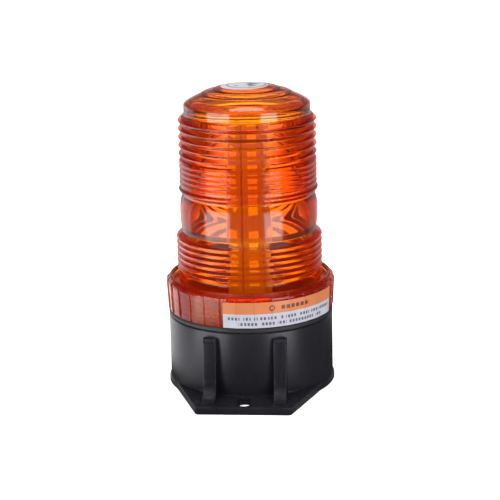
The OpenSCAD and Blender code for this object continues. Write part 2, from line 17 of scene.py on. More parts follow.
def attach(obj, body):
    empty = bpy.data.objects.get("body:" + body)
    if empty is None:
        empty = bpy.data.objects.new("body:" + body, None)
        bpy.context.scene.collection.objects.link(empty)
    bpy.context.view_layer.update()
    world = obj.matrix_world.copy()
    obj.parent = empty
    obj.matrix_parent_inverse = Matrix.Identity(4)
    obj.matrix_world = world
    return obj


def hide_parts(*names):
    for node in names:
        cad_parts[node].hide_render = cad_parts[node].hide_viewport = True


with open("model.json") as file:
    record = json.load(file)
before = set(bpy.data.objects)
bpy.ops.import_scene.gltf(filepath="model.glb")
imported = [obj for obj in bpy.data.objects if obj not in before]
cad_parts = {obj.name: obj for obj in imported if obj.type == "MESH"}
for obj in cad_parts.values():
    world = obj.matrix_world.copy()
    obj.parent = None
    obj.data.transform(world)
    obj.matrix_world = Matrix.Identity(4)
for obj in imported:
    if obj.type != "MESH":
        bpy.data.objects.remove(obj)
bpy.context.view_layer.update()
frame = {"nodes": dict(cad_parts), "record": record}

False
MM = 0.001
scene = bpy.context.scene
nodes = frame["nodes"]

# ---------------------------------------------------------------- driving sizes (mm, degrees)
# housing: _R is a radius, _H a height, _Z a height above the floor
BODY_R, BODY_H = 45.4, 39.5
DISC_R = BODY_R + 0.9        # foot disc, a little wider than the body
LIP_H = 1.9                  # height of the foot disc's edge
PLATE_T = 4.0                # ear thickness
EAR_REACH, EAR_HALF = 62.7, 25.2
EAR_ROOT_X = 39.8            # where an ear's slanted side meets the foot disc
EAR_CORNER_R = 2.0
SLOT_Y, SLOT_SHIFT, SLOT_R = 53.8, 3.0, 3.5
RIB_W, RIB_GAP, RIB_TOP = 6.9, 37.7, 36.0
NECK_R, NECK_H = 39.6, 13.6
CAV_R = BODY_R - 3.0         # cavity open to the underside
CUP_R = NECK_R - 2.8         # cup open to the top
FLOOR_BOT, FLOOR_TOP = 23.5, 26.5
POST_CIRCLE_R, POST_ANGLES = 27.5, (30, 150, 270)
LEAD_HOLE_CIRCLE_R, LEAD_HOLE_ANGLE = 15.8, 145
PORT_TURN, PORT_Z, PORT_R = -6.6, 17.6, 3.0

# lens
LENS_Z = BODY_H + 2.4        # underside of the lens, on top of the seal ring
LENS_H, LENS_R, LENS_WALL = 123.7, 34.2, 2.3
TOP_Z = LENS_Z + LENS_H
DOME_R = 64.6
DOME_C = TOP_Z - DOME_R
SHOULDER_R = 1.8             # round between dome and side
SHOULDER_Z = DOME_C + math.sqrt((DOME_R - SHOULDER_R) ** 2 - (LENS_R - SHOULDER_R) ** 2)
RING_R = 37.55               # crests of the two ring stacks
RING_TOP, RING_STEP, RING_DEPTH = LENS_Z + 104.9, 4.5, 1.7
FINE_TOP, FINE_STEP, FINE_DEPTH = RING_TOP - 5 * RING_STEP, 2.82, 0.45
BARREL_Z = LENS_Z + 55.4
BAND_TOP, BAND_STEP = LENS_Z + 40.9, 3.4
COL_TOP = LENS_Z + 19.2      # collar
COL_WALL_TOP = COL_TOP - 3.2
COL_R0, COL_R1 = 45.1, 45.9  # collar radius at the foot and at the top of its wall
GRIPS = 30                   # small upright ridges around the collar
GRIP_PITCH = 360 / GRIPS
GRIP_START = -90 + 6.9
BORE_R = NECK_R + 2.4

# screw thread, the same section on the neck and in the bore
THREAD_H, THREAD_LEAD = 1.7, 2.5
THREAD_FOOT, THREAD_CREST = 1.3, 0.5
THREAD_FADE = 60.0           # degrees over which each end runs out
THREAD_ROW = 0.13            # spacing of mesh rows under the thread

# columns of LED packages
LED_COLUMNS, LED_START = 6, 16 - 90
LED_ROWS = [62.0 + (131.6 - 62.0) * i / 6 for i in range(7)]
PHOSPHOR_R, PHOSPHOR_DEPTHS = 1.75, (12.0, 12.3)

YAW = 4.8                    # camera's turn around Z, from -Y toward +X


# ---------------------------------------------------------------- outline helpers
def arc(centre_x, centre_y, radius, start, end, steps):
    """Points along an arc, from one angle to another in degrees."""
    angles = [math.radians(start + (end - start) * i / steps) for i in range(steps + 1)]
    return [(centre_x + radius * math.cos(a), centre_y + radius * math.sin(a)) for a in angles]


def polar(radius, degrees):
    angle = math.radians(degrees)
    return radius * math.cos(angle), radius * math.sin(angle)


def full_turn(steps):
    return np.linspace(0, 2 * math.pi, steps, endpoint=False)


def rounded(points, steps=4):
    """Polyline of (r, z) or (r, z, radius): inner corners with a radius become arcs.

    A radius shrinks where its corner's sides are too short for it.
    """
    out = []
    for i, (x, z, *radius) in enumerate(points):
        if not radius or i in (0, len(points) - 1):
            out.append((x, z))
            continue
        corner = np.array((x, z), float)
        back = np.array(points[i - 1][:2], float) - corner
        ahead = np.array(points[i + 1][:2], float) - corner
        back_length, ahead_length = np.linalg.norm(back), np.linalg.norm(ahead)
        back /= back_length
        ahead /= ahead_length
        opening = math.acos(float(np.clip(np.dot(back, ahead), -1, 1)))
        if opening > math.pi - 0.03:  # nearly straight
            out.append((x, z))
            continue
        reach = min(radius[0] / math.tan(opening / 2), 0.49 * back_length, 0.49 * ahead_length)
        fitted = reach * math.tan(opening / 2)
        bisector = back + ahead
        bisector /= np.linalg.norm(bisector)
        centre = corner + bisector * (fitted / math.sin(opening / 2))
        first = corner + back * reach - centre
        last = corner + ahead * reach - centre
        start = math.atan2(first[1], first[0])
        sweep = (math.atan2(last[1], last[0]) - start + math.pi) % (2 * math.pi) - math.pi
        for k in range(steps + 1):
            angle = start + sweep * k / steps
            out.append((centre[0] + fitted * math.cos(angle), centre[1] + fitted * math.sin(angle)))
    return out


# ---------------------------------------------------------------- mesh helpers
def add_object(name, data):
    ob = bpy.data.objects.new(name, data)
    scene.collection.objects.link(ob)
    return ob


def object_from_bmesh(name, bm):
    mesh = bpy.data.meshes.new(name)
    bm.to_mesh(mesh)
    bm.free()
    return add_object(name, mesh)


def fix_normals(ob):
    bm = bmesh.new()
    bm.from_mesh(ob.data)
    bmesh.ops.recalc_face_normals(bm, faces=bm.faces)
    bm.to_mesh(ob.data)
    bm.free()


def lathe(name, profile, angles, closed=True, relief=None):
    """Turn a profile of (r, z) around Z. A point at r = 0 becomes one vertex.

    closed joins the last row to the first; relief(angles, r, z) gives an offset to r.
    """
    count = len(angles)
    verts, rows = [], []
    for r, z in profile:
        if r < 1e-4:
            rows.append([len(verts)])
            verts.append((0, 0, z * MM))
            continue
        radii = np.full(count, r)
        if relief is not None:
            radii = radii + relief(angles, r, z)
        rows.append(list(range(len(verts), len(verts) + count)))
        for a, radius in zip(angles, radii):
            verts.append((radius * math.cos(a) * MM, radius * math.sin(a) * MM, z * MM))
    faces = []
    for i in range(len(rows) if closed else len(rows) - 1):
        low, high = rows[i], rows[(i + 1) % len(rows)]
        if len(low) == 1 and len(high) == 1:
            continue
        for k in range(count):
            after = (k + 1) % count
            if len(low) == 1:
                faces.append((low[0], high[k], high[after]))
            elif len(high) == 1:
                faces.append((low[k], high[0], low[after]))
            else:
                faces.append((low[k], high[k], high[after], low[after]))
    mesh = bpy.data.meshes.new(name)
    mesh.from_pydata(verts, [], faces)
    mesh.validate()
    mesh.update()
    mesh.shade_smooth()
    ob = add_object(name, mesh)
    fix_normals(ob)
    return ob


def prism(name, outline, z0, z1, bevel=0.0):
    """Extruded outline. bevel rounds the edges of both end faces."""
    bm = bmesh.new()
    face = bm.faces.new([bm.verts.new((x * MM, y * MM, z0 * MM)) for x, y in outline])
    extruded = bmesh.ops.extrude_face_region(bm, geom=[face])
    top = [e for e in extruded["geom"] if isinstance(e, bmesh.types.BMVert)]
    bmesh.ops.translate(bm, verts=top, vec=(0, 0, (z1 - z0) * MM))
    bmesh.ops.recalc_face_normals(bm, faces=bm.faces)
    if bevel > 0:
        rims = [e for e in bm.edges if abs(e.verts[0].co.z - e.verts[1].co.z) < 1e-7]
        bmesh.ops.bevel(bm, geom=rims, offset=bevel * MM, segments=3, profile=0.5,
                        affect="EDGES", clamp_overlap=True)
    bmesh.ops.triangulate(bm, faces=[f for f in bm.faces if len(f.verts) > 4])
    return object_from_bmesh(name, bm)


def cylinder(name, radius, z0, z1, sides, centre):
    turns = [2 * math.pi * i / sides for i in range(sides)]
    outline = [(centre[0] + radius * math.cos(a), centre[1] + radius * math.sin(a)) for a in turns]
    return prism(name, outline, z0, z1)


# Lays a shape on its side: its x, y, z become y, z, x.
ON_SIDE = Matrix(((0, 0, 1, 0), (1, 0, 0, 0), (0, 1, 0, 0), (0, 0, 0, 1)))


def place(ob, matrix):
    ob.data.transform(matrix)
    ob.data.update()
    fix_normals(ob)


def boolean(ob, tools, operation):
    """Join the tools to the object or cut them from it, then delete them."""
    for tool in tools:
        modifier = ob.modifiers.new("b", "BOOLEAN")
        modifier.operation = operation
        modifier.object = tool
        modifier.solver = "MANIFOLD"
    bpy.context.view_layer.update()
    graph = bpy.context.evaluated_depsgraph_get()
    result = bpy.data.meshes.new_from_object(ob.evaluated_get(graph))
    ob.modifiers.clear()
    before = ob.data
    ob.data = result
    bpy.data.meshes.remove(before)
    for tool in tools:
        mesh = tool.data
        bpy.data.objects.remove(tool)
        bpy.data.meshes.remove(mesh)


def smooth_by_angle(ob, degrees):
    ob.data.shade_smooth()
    bm = bmesh.new()
    bm.from_mesh(ob.data)
    limit = math.radians(degrees)
    for edge in bm.edges:
        edge.smooth = len(edge.link_faces) == 2 and edge.calc_face_angle(0.0) < limit
    bm.to_mesh(ob.data)
    bm.free()


def assign(ob, material):
    ob.data.materials.clear()
    ob.data.materials.append(material)


# ---------------------------------------------------------------- shader graph helpers
def rgba(colour):
    """A number is a grey, three numbers are a colour."""
    return colour + (1,) if isinstance(colour, tuple) else (colour, colour, colour, 1)


class Graph:
    """Adds nodes to a node tree. Most methods return the new node's output socket."""

    def __init__(self, tree):
        self.tree = tree
        tree.nodes.clear()

    def feed(self, node, key, value):
        """Link or set one input, by place or by name with _ for a space."""
        socket = node.inputs[key if isinstance(key, int) else key.replace("_", " ")]
        if isinstance(value, bpy.types.NodeSocket):
            self.tree.links.new(value, socket)
        else:
            socket.default_value = rgba(value) if socket.type == "RGBA" else value

    def node(self, kind, *ordered, settings=None, **named):
        """New node with its inputs given in order or by name; None leaves one alone."""
        node = self.tree.nodes.new("ShaderNode" + kind)
        for key, value in (settings or {}).items():
            setattr(node, key, value)
        for key, value in [*enumerate(ordered), *named.items()]:
            if value is not None:
                self.feed(node, key, value)
        return node

    def math(self, operation, *values, clamp=False):
        settings = {"operation": operation, "use_clamp": clamp}
        return self.node("Math", *values, settings=settings).outputs[0]

    def product(self, first, *others):
        for other in others:
            first = self.math("MULTIPLY", first, other)
        return first

    def ramp(self, source, stops):
        """Colour ramp through stops of (position, grey or colour)."""
        node = self.node("ValToRGB", Fac=source)
        elements = node.color_ramp.elements
        while len(elements) < len(stops):
            elements.new(0.5)
        for element, (position, colour) in zip(elements, stops):
            element.position = position
            element.color = rgba(colour)
        return node.outputs["Color"]

    def blend(self, source, low, high, ends=(0.3, 0.75)):
        """Ramp from low to high between two positions."""
        return self.ramp(source, list(zip(ends, (low, high))))

    def mix(self, factor, first, second):
        skipped = [None] * 5  # the colour inputs are numbers 6 and 7
        node = self.node("Mix", factor, *skipped, first, second, settings={"data_type": "RGBA"})
        return node.outputs[2]

    def mix_shader(self, factor, first, second):
        return self.node("MixShader", factor, first, second).outputs[0]

    def axes(self, vector):
        return self.node("SeparateXYZ", vector).outputs


class Material(Graph):
    """A material whose output starts out fed by one Principled shader."""

    def __init__(self, name):
        self.material = bpy.data.materials.new(name)
        self.material.use_nodes = True
        super().__init__(self.material.node_tree)
        self.output = self.node("OutputMaterial")
        self.principled = self.node("BsdfPrincipled")
        self.feed(self.output, "Surface", self.principled.outputs["BSDF"])
        self.place = self.node("TexCoord").outputs["Object"]

    def shade(self, **inputs):
        for key, value in inputs.items():
            self.feed(self.principled, key, value)
        return self.material

    def noise(self, scale, detail=4.0, roughness=0.6, stretch=None, distortion=0.0):
        where = self.place
        if stretch:
            where = self.node("Mapping", Scale=stretch, Vector=where).outputs["Vector"]
        return self.node("TexNoise", Scale=scale, Detail=detail, Roughness=roughness,
                         Distortion=distortion, Vector=where).outputs["Fac"]

    def bump(self, height, strength, distance, normal=None):
        return self.node("Bump", Strength=strength, Distance=distance, Height=height,
                         Normal=normal).outputs["Normal"]

    def bevel(self, radius, samples=4):
        """Normal softened over edges."""
        return self.node("Bevel", Radius=radius, settings={"samples": samples}).outputs["Normal"]

    def attribute(self, name):
        return self.node("Attribute", settings={"attribute_name": name}).outputs["Fac"]


# ---------------------------------------------------------------- materials
def housing_plastic(name):
    m = Material(name)
    grain = m.noise(scale=900.0, detail=3.0)
    cloud = m.noise(scale=35.0, detail=5.0)
    scuffs = m.noise(scale=60.0, detail=6.0, roughness=0.7, stretch=(1.0, 1.0, 12.0))
    normal = m.bump(grain, strength=0.10, distance=0.00008,
                    normal=m.bevel(radius=0.00045, samples=6))
    normal = m.bump(scuffs, strength=0.05, distance=0.0002, normal=normal)
    colour = m.blend(cloud, (0.0058, 0.0058, 0.0080), (0.0090, 0.0090, 0.0120))
    # fine dust on what faces up
    facing_z = m.axes(m.node("NewGeometry").outputs["Normal"])["Z"]
    upward = m.math("MULTIPLY", facing_z, 1.0, clamp=True)
    specks = m.blend(m.noise(scale=220.0, detail=6.0, roughness=0.75), 0.0, 1.0, ends=(0.52, 0.80))
    dust_amount = m.product(upward, specks, 0.10)
    dusty = m.mix(dust_amount, colour, (0.25, 0.245, 0.235))
    roughness = m.blend(cloud, 0.28, 0.36, ends=(0.25, 0.8))
    return m.shade(Base_Color=dusty, Roughness=roughness, Normal=normal,
                   Specular_IOR_Level=0.5, Specular_Tint=(0.90, 0.90, 1.0))


def seal_rubber(name):
    m = Material(name)
    grain = m.noise(scale=700.0, roughness=0.7)
    cloud = m.noise(scale=60.0)
    normal = m.bump(grain, strength=0.25, distance=0.00012, normal=m.bevel(radius=0.0003))
    colour = m.blend(cloud, (0.010, 0.010, 0.011), (0.020, 0.020, 0.021), ends=(0.3, 0.8))
    roughness = m.blend(cloud, 0.50, 0.62, ends=(0.3, 0.8))
    return m.shade(Base_Color=colour, Roughness=roughness, Normal=normal)


ABSORB_RED, ABSORB_GREEN, ABSORB_BLUE = 52.0, 312.0, 2300.0  # per metre of lens


def collar_painted_light(m):
    """Fine grid of brighter lines, masked to a patch on the front left of the collar: painted light
    shining through the collar there.
    """
    x, y, z = m.axes(m.node("TexCoord").outputs["Object"])
    angle = m.math("ARCTAN2", y, x)
    upright = m.math("SINE", m.math("MULTIPLY", angle, 130.0))  # 130 lines a turn
    level = m.math("SINE", m.math("MULTIPLY", z, 2 * math.pi / 0.00185))  # one each 1.85 mm
    upright = m.math("MULTIPLY_ADD", upright, 1.6, 0.6, clamp=True)
    level = m.math("MULTIPLY_ADD", level, 1.6, 0.9, clamp=True)
    painted_light_grid = m.product(upright, level)
    # ramp positions: 0.1 is 10 mm, and x and y are shifted so that their zero is at 0.5
    in_x = m.ramp(m.math("MULTIPLY_ADD", x, 10.0, 0.5),
                  [(0.17, 0.0), (0.21, 1.0), (0.42, 1.0), (0.45, 0.0)])
    in_y = m.ramp(m.math("MULTIPLY_ADD", y, 10.0, 0.5), [(0.20, 1.0), (0.28, 0.0)])
    in_z = m.ramp(m.math("MULTIPLY", z, 10.0),
                  [(0.425, 0.0), (0.435, 1.0), (0.575, 1.0), (0.585, 0.0)])
    return m.product(painted_light_grid, m.product(in_x, in_y, in_z))


def lens_plastic(name):
    """Absorbing amber, with a surface haze; shadow and diffuse rays pass almost freely."""
    m = Material(name)
    colour = m.mix(m.attribute("tint"), (1.0, 1.0, 1.0), (0.80, 0.68, 0.35))
    roughness = m.blend(m.noise(scale=26.0), 0.012, 0.035)
    ripple = m.noise(scale=14.0, detail=2.0, roughness=0.5, stretch=(1.0, 1.0, 2.2))
    scuffs = m.noise(scale=90.0, detail=8.0, roughness=0.8, stretch=(1.0, 1.0, 14.0),
                     distortion=0.4)
    normal = m.bump(ripple, strength=0.10, distance=0.0010)
    normal = m.bump(scuffs, strength=0.03, distance=0.00015, normal=normal)
    m.shade(Base_Color=colour, Transmission_Weight=1.0, IOR=1.52, Roughness=roughness,
            Normal=normal)
    clear = m.node("BsdfTransparent", Color=(0.96, 0.94, 0.92)).outputs["BSDF"]
    haze_and_painted_light_colour = m.blend(m.noise(scale=18.0, detail=3.0, roughness=0.5),
                          (0.76, 0.034, 0.004), (0.86, 0.046, 0.006))
    # painted light: a grid of brighter orange on the front left of the collar, mixed into the haze
    # colour and amount
    painted_light_grid = collar_painted_light(m)
    haze_and_painted_light_colour = m.mix(painted_light_grid, haze_and_painted_light_colour, (0.95, 0.30, 0.04))
    diffuse = m.node("BsdfDiffuse", Color=haze_and_painted_light_colour).outputs["BSDF"]
    translucent = m.node("BsdfTranslucent", Color=haze_and_painted_light_colour).outputs["BSDF"]
    haze = m.mix_shader(0.4, diffuse, translucent)
    haze_and_painted_light_amount = m.math("MULTIPLY_ADD", painted_light_grid, 0.15, m.attribute("haze"))
    body = m.mix_shader(haze_and_painted_light_amount, m.principled.outputs["BSDF"], haze)
    rays = m.node("LightPath").outputs
    soft_rays = m.math("MAXIMUM", rays["Is Shadow Ray"], rays["Is Diffuse Ray"])
    m.feed(m.output, "Surface", m.mix_shader(soft_rays, body, clear))
    passed = (1 - ABSORB_RED / ABSORB_BLUE, 1 - ABSORB_GREEN / ABSORB_BLUE, 0.0)
    absorption = m.node("VolumeAbsorption", Density=ABSORB_BLUE, Color=passed)
    m.feed(m.output, "Volume", absorption.outputs["Volume"])
    return m.material


def round_label(name):
    """Silver with a dark ring and dark blots inside it, centred on the Z axis."""
    m = Material(name)
    x, y, _ = m.axes(m.place)
    x_squared = m.product(x, x)
    y_squared = m.product(y, y)
    radius = m.math("SQRT", m.math("ADD", x_squared, y_squared))
    scaled = m.product(radius, 60.0)  # ramp position 0.6 is a radius of 10 mm
    ring = m.ramp(scaled, [(0.0, 0.0), (0.600, 0.0), (0.606, 1.0), (0.648, 1.0), (0.654, 0.0)])
    cloud = m.noise(scale=60.0, detail=5.0)
    blots = m.noise(scale=150.0, detail=2.0, roughness=0.5, stretch=(1.0, 2.4, 1.0))
    blots = m.blend(blots, 0.0, 1.0, ends=(0.53, 0.56))
    inside = m.ramp(scaled, [(0.0, 1.0), (0.46, 1.0), (0.50, 0.0)])
    marks = m.math("MAXIMUM", ring, m.product(blots, inside))
    silver = m.blend(cloud, (0.40, 0.405, 0.44), (0.50, 0.505, 0.54))
    colour = m.mix(m.product(marks, 0.9), silver, (0.08, 0.08, 0.10))
    return m.shade(Base_Color=colour, Metallic=0.35, Roughness=0.38,
                   Normal=m.bump(cloud, strength=0.25, distance=0.0004))


def band_label(name):
    """Orange band above a silver one, with plain dashes standing in for print."""
    m = Material(name)
    x, y, z = m.axes(m.place)
    height = m.math("SUBTRACT", z, LENS_Z * MM)
    on_orange = m.math("GREATER_THAN", height, 0.0082)
    cloud = m.noise(scale=45.0, detail=5.0)
    orange = m.blend(cloud, (0.36, 0.105, 0.030), (0.44, 0.135, 0.042))
    silver = m.blend(cloud, (0.27, 0.275, 0.32), (0.34, 0.345, 0.39))
    angle = m.math("ARCTAN2", y, x)
    height_mm = m.math("MULTIPLY", height, 1000.0)

    def dashes(centre, half_height, start, end, per_radian, fill, shift, words=None):
        """Row of dashes between two angles from the front; words = (scale, shift) gaps it."""
        middle, half = math.radians(-90 + (start + end) / 2), math.radians((end - start) / 2)
        factors = [m.math("COMPARE", height_mm, centre, half_height),
                   m.math("COMPARE", angle, middle, half)]
        along = m.math("FRACT", m.math("MULTIPLY_ADD", angle, per_radian, shift))
        factors.append(m.math("LESS_THAN", along, fill))
        if words:
            gaps = m.node("TexNoise", settings={"noise_dimensions": "1D"}, Scale=1.0, Detail=0.0,
                          W=m.math("MULTIPLY_ADD", angle, *words)).outputs["Fac"]
            factors.append(m.math("GREATER_THAN", gaps, 0.40))
        return m.product(*factors)

    upper = dashes(centre=5.7, half_height=0.8, start=-11, end=69, per_radian=24.0, fill=0.62,
                   shift=0.2, words=(16.0, 3.1))
    lower = dashes(centre=2.7, half_height=0.8, start=-4, end=60, per_radian=24.0, fill=0.62,
                   shift=0.7, words=(15.0, 9.4))
    silver_print = m.product(m.math("MAXIMUM", upper, lower), 0.92)
    silver = m.mix(silver_print, silver, (0.03, 0.03, 0.05))
    line = dashes(centre=11.3, half_height=1.05, start=24.5, end=47, per_radian=16.0, fill=0.70,
                  shift=0.1)
    # small ring before the dashes, found by its squared distance in mm
    across = m.product(m.math("SUBTRACT", angle, math.radians(-90 + 18.7)), 45.8)
    above = m.math("SUBTRACT", height_mm, 11.3)
    squared = m.math("ADD", m.product(across, across), m.product(above, above))
    ring = m.product(m.math("LESS_THAN", squared, 2.6), m.math("GREATER_THAN", squared, 0.9))
    orange_print = m.product(m.math("MAXIMUM", line, ring), 0.90)
    orange = m.mix(orange_print, orange, (0.05, 0.012, 0.010))
    return m.shade(Base_Color=m.mix(on_orange, silver, orange), Roughness=0.36,
                   Normal=m.bump(cloud, strength=0.15, distance=0.0003))


def board(name, colours, trace):
    """Circuit board with a faint brick pattern of lines."""
    m = Material(name)
    base = m.blend(m.noise(scale=80.0), *colours)
    lines = m.node("TexBrick", Scale=260.0, Mortar_Size=0.018, Color1=0, Color2=0, Mortar=1,
                   Vector=m.place).outputs["Fac"]
    return m.shade(Base_Color=m.mix(m.product(lines, 0.35), base, trace), Roughness=0.35,
                   Normal=m.bump(lines, strength=0.2, distance=0.00005))


def led_package(name):
    """White package, yellow where the phosphor attribute is 1, with a slight painted glow that
    brightens it.
    """
    m = Material(name)
    phosphor = m.attribute("phosphor")
    cloud = m.noise(scale=300.0)
    white = m.blend(cloud, (0.80, 0.80, 0.77), (0.88, 0.88, 0.85))
    yellow = m.blend(cloud, (0.95, 0.72, 0.10), (1.0, 0.80, 0.16))
    colour = m.mix(phosphor, white, yellow)
    # the emission is painted light that makes the package brighter than the board
    return m.shade(Base_Color=colour, Roughness=0.3, Emission_Color=colour,
                   Emission_Strength=0.4,
                   Normal=m.bump(cloud, strength=0.15, distance=0.00005))


def plain(name, colours, roughness, metallic=0.0, scale=120.0, edge=None):
    """Mottled between two colours and two roughnesses; edge is a radius for soft edges."""
    m = Material(name)
    cloud = m.noise(scale=scale, detail=5.0)
    grain = m.noise(scale=scale * 6, detail=3.0)
    normal = m.bevel(radius=edge) if edge else None
    return m.shade(Base_Color=m.blend(cloud, *colours), Roughness=m.blend(cloud, *roughness),
                   Metallic=metallic,
                   Normal=m.bump(grain, strength=0.15, distance=0.0001, normal=normal))


# material name, function that makes it, its arguments
LOOKS = [
    ("housing_black", housing_plastic, {}),
    ("seal_black", seal_rubber, {}),
    ("lens_amber", lens_plastic, {}),
    ("label_silver", round_label, {}),
    ("label_band", band_label, {}),
    ("board_green", board, dict(colours=((0.010, 0.085, 0.030), (0.018, 0.120, 0.045)),
                                trace=(0.05, 0.26, 0.10))),
    ("board_white", board, dict(colours=((0.54, 0.55, 0.52), (0.62, 0.63, 0.60)),
                                trace=(0.42, 0.43, 0.40))),
    ("mast_plastic", plain, dict(colours=((0.050, 0.048, 0.046), (0.075, 0.072, 0.070)),
                                 roughness=(0.45, 0.6), edge=0.0003)),
    ("screw_steel", plain, dict(colours=((0.50, 0.50, 0.52), (0.62, 0.62, 0.64)),
                                roughness=(0.22, 0.38), metallic=1.0, scale=300.0, edge=0.0002)),
    ("led_yellow", led_package, {}),
    ("pin_brass", plain, dict(colours=((0.66, 0.60, 0.50), (0.74, 0.70, 0.62)),
                              roughness=(0.22, 0.4), metallic=1.0, scale=400.0)),
    ("can_sleeve", plain, dict(colours=((0.012, 0.012, 0.03), (0.02, 0.02, 0.045)),
                               roughness=(0.25, 0.35), edge=0.0003)),
    ("coil_copper", plain, dict(colours=((0.30, 0.11, 0.04), (0.42, 0.17, 0.07)),
                                roughness=(0.25, 0.4), metallic=0.6, scale=500.0)),
    ("chip_black", plain, dict(colours=((0.012, 0.012, 0.013), (0.022, 0.022, 0.024)),
                               roughness=(0.45, 0.6), edge=0.0001)),
    ("chip_ceramic", plain, dict(colours=((0.28, 0.28, 0.27), (0.40, 0.40, 0.39)),
                                 roughness=(0.4, 0.6))),
    ("wire_red", plain, dict(colours=((0.45, 0.012, 0.010), (0.55, 0.020, 0.016)),
                             roughness=(0.30, 0.42), scale=60.0)),
    ("wire_black", plain, dict(colours=((0.010, 0.010, 0.011), (0.018, 0.018, 0.020)),
                               roughness=(0.30, 0.42), scale=60.0)),
    ("tie_white", plain, dict(colours=((0.70, 0.70, 0.67), (0.78, 0.78, 0.75)),
                              roughness=(0.35, 0.5), edge=0.0002)),
]
MATERIALS = {name: make(name, **look) for name, make, look in LOOKS}
slots = {part["node"]: part["material_slot"] for part in frame["record"]["subparts"]}
for name, ob in nodes.items():
    assign(ob, MATERIALS[slots[name]])


def mark_phosphor(mesh, bearing):
    """Flag the faces in the round window of each package in one LED column."""
    out_x, out_y = math.cos(bearing), math.sin(bearing)
    values = []
    for face in mesh.polygons:
        centre = face.center
        depth = (centre.x * out_x + centre.y * out_y) / MM
        across = (centre.y * out_x - centre.x * out_y) / MM
        above = min((centre.z / MM - row for row in LED_ROWS), key=abs)
        in_window = math.hypot(across, above) < PHOSPHOR_R
        values.append(float(in_window and PHOSPHOR_DEPTHS[0] < depth < PHOSPHOR_DEPTHS[1]))
    mesh.attributes.new("phosphor", "FLOAT", "FACE").data.foreach_set("value", values)


for column in range(LED_COLUMNS):
    bearing = math.radians(LED_START + 360 / LED_COLUMNS * column)
    mark_phosphor(nodes["leds_%d" % (column + 1)].data, bearing)


# ---------------------------------------------------------------- screw thread
def thread(angles, z, start_z, turns):
    """Height of the thread above its wall, at these angles and this z."""
    degrees = np.degrees(angles) % 360
    height = np.zeros_like(angles)
    for turn in range(math.ceil(turns)):
        along = degrees + 360 * turn
        aside = np.abs(z - (start_z + THREAD_LEAD * along / 360))
        flank = np.clip((THREAD_FOOT / 2 - aside) / ((THREAD_FOOT - THREAD_CREST) / 2), 0, 1)
        fade = np.clip(np.minimum(along, 360 * turns - along) / THREAD_FADE, 0, 1)
        section = np.minimum(flank, fade * 1.25 - 0.25)
        height = np.maximum(height, np.where(along <= 360 * turns, section, 0))
    return THREAD_H * np.clip(height, 0, 1)


# ---------------------------------------------------------------- lens
# Profile points are (r, z) or (r, z, corner radius). They run from the top of the dome down
# the outside, around the foot of the collar and up the inside.
def dome_outside():
    def on_dome(r, lift=0):
        return DOME_C + math.sqrt((DOME_R + lift) ** 2 - r * r)

    # (r, height above the dome): two low raised rings
    raised = [(15.2, 0), (15.6, 0.3), (18.2, 0.3), (18.6, 0),
              (21.8, 0), (22.2, 0.3), (24.4, 0.3), (24.8, 0)]
    points = arc(0.0, DOME_C, DOME_R, 90, 90 - 13.4, 8)
    points += [(r, on_dome(r, lift), 0.25) for r, lift in raised]
    points += [(r, on_dome(r)) for r in (26.5, 28.0, 29.5, 31.0, 32.3)]
    return rounded(points, 3) + arc(LENS_R - SHOULDER_R, SHOULDER_Z, SHOULDER_R, 57, 0, 10)


def ring_stacks():
    """Five deep rings above five shallow ones."""
    first_edge = RING_TOP + RING_STEP / 2
    points = [(LENS_R, SHOULDER_Z - 0.3), (LENS_R, first_edge + 1.0, 0.6),
              (LENS_R + 0.25, first_edge + 0.5, 0.4),
              (RING_R - RING_DEPTH, first_edge - 0.2, 0.4)]
    for i in range(5):
        z = RING_TOP - i * RING_STEP
        points += [(RING_R + 0.08, z, 0.32), (RING_R - RING_DEPTH, z - RING_STEP / 2, 0.35)]
    points.append((RING_R - FINE_DEPTH, FINE_TOP + FINE_STEP / 2, 0.2))
    for i in range(5):
        z = FINE_TOP - i * FINE_STEP
        points += [(RING_R + 0.02, z, 0.35), (RING_R - FINE_DEPTH, z - FINE_STEP / 2, 0.25)]
    return rounded(points, 5)


def bead_and_barrel():
    """Round bead, then a smooth band that swells in the middle."""
    points = arc(36.8, RING_TOP - 37.6, 1.2, 75, -75, 12)
    for i in range(41):
        t = 1 - i / 20  # 1 at the top, -1 at the bottom
        drop, reach = (1.45, 8.9) if t > 0 else (0.80, 11.3)
        points.append((37.6 - drop * abs(t) ** 2.5, BARREL_Z + t * reach))
    return points


def band_and_rim():
    """Six rings, then the groove and rounded rim on top of the collar."""
    points = [(36.85, BAND_TOP + 3.15), (38.1, BAND_TOP + 2.1, 0.4), (39.4, BAND_TOP + 0.95, 0.4)]
    for i in range(6):
        z = BAND_TOP - i * BAND_STEP
        points += [(40.08, z, 0.55), (39.2, z - BAND_STEP / 2, 0.3)]
    points += [(39.1, BAND_TOP - 5.5 * BAND_STEP - 0.4, 0.2), (39.1, COL_TOP - 3.6, 0.5),
               (COL_R1 - 3.3, COL_TOP - 3.6, 0.5), (COL_R1 - 3.0, COL_TOP - 0.6, 0.5),
               (COL_R1 - 2.2, COL_TOP, 0.8), (COL_R1 - 1.3, COL_TOP - 0.8, 1.0),
               (COL_R1 - 0.3, COL_TOP - 2.4, 1.0), (COL_R1, COL_WALL_TOP)]
    return rounded(points, 5)


def collar_and_bore():
    """Collar wall, foot, and the bore with rows for the thread."""
    wall = [(COL_R1 - (COL_R1 - COL_R0) * t, COL_WALL_TOP - (COL_WALL_TOP - LENS_Z - 0.3) * t)
            for t in np.linspace(0.03, 1, 12)]
    foot = [(COL_R0 - 0.08, LENS_Z + 0.08), (COL_R0 - 0.3, LENS_Z), (BORE_R + 0.5, LENS_Z),
            (BORE_R + 0.1, LENS_Z + 0.15), (BORE_R, LENS_Z + 0.5)]
    rows = np.arange(LENS_Z + 0.65, LENS_Z + 13.3, THREAD_ROW)
    return wall + foot + [(BORE_R, float(z)) for z in rows]


